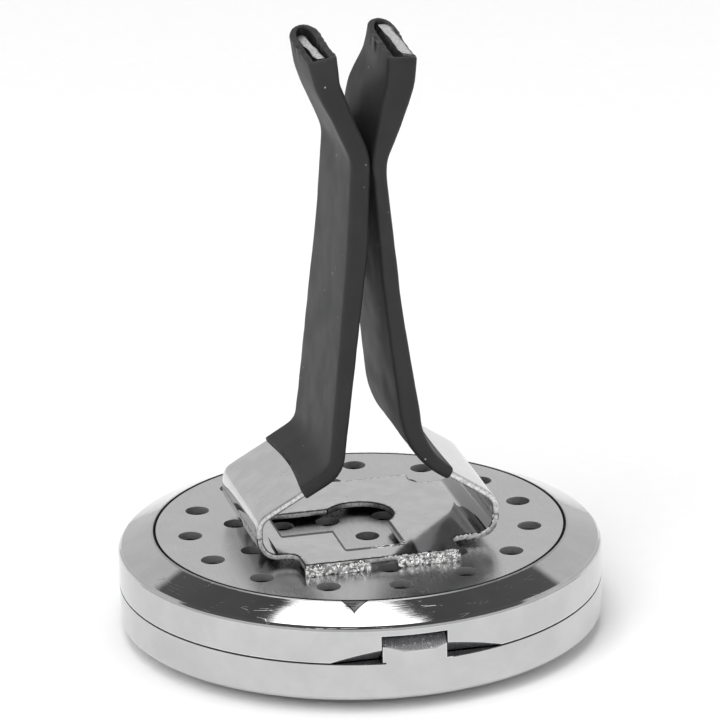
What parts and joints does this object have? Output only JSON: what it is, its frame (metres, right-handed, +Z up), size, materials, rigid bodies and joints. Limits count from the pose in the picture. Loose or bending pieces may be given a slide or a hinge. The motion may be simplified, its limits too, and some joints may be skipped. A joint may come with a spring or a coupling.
{
  "type": "vent clip diffuser locket",
  "caption": "Round hinged steel locket with a perforated back plate and a welded spring clip whose two rubber-sleeved jaws meet at a neck and flare out.",
  "frame": {"origin": "centre of the round case on the surface that its front face lies on", "axes": "+Z up through the back plate towards the jaws, +X across the jaws, -Y towards the hinge"},
  "size_m": [0.038, 0.038, 0.0485],
  "materials": {
    "polished_steel": "polished",
    "satin_steel": "satin",
    "spring_steel": "fine brushed with bright cut edges",
    "weld": "rough bright bead",
    "rubber": "matte",
    "felt": "felt"
  },
  "bodies": {
    "front_case": {"front_shell": "polished_steel", "front_face": "polished_steel", "felt_pad": "felt", "hinge_pin": "satin_steel", "front_magnet": "satin_steel"},
    "back_case": {"back_shell": "polished_steel", "back_plate": "satin_steel", "back_magnet": "satin_steel", "clip_base": "spring_steel", "near_left_weld": "weld", "near_right_weld": "weld", "far_left_weld": "weld", "far_right_weld": "weld"},
    "left_jaw": {"left_leg": "spring_steel", "left_sleeve": "rubber"},
    "right_jaw": {"right_leg": "spring_steel", "right_sleeve": "rubber"}
  },
  "joints": [
    {"name": "case_hinge", "type": "hinge", "parent": "front_case", "child": "back_case", "pos_m": [0, -0.0175, 0.0047], "axis": [1, 0, 0], "range_deg": [0, 45]},
    {"name": "left_jaw_flex", "type": "hinge", "parent": "back_case", "child": "left_jaw", "pos_m": [-0.0095, 0, 0.0105], "axis": [0, -1, 0], "range_deg": [0, 6], "stiffness_Nm_per_rad": 1.5},
    {"name": "right_jaw_flex", "type": "hinge", "parent": "back_case", "child": "right_jaw", "pos_m": [0.00934, 0, 0.0105], "axis": [0, 1, 0], "range_deg": [0, 6], "stiffness_Nm_per_rad": 1.5}
  ]
}
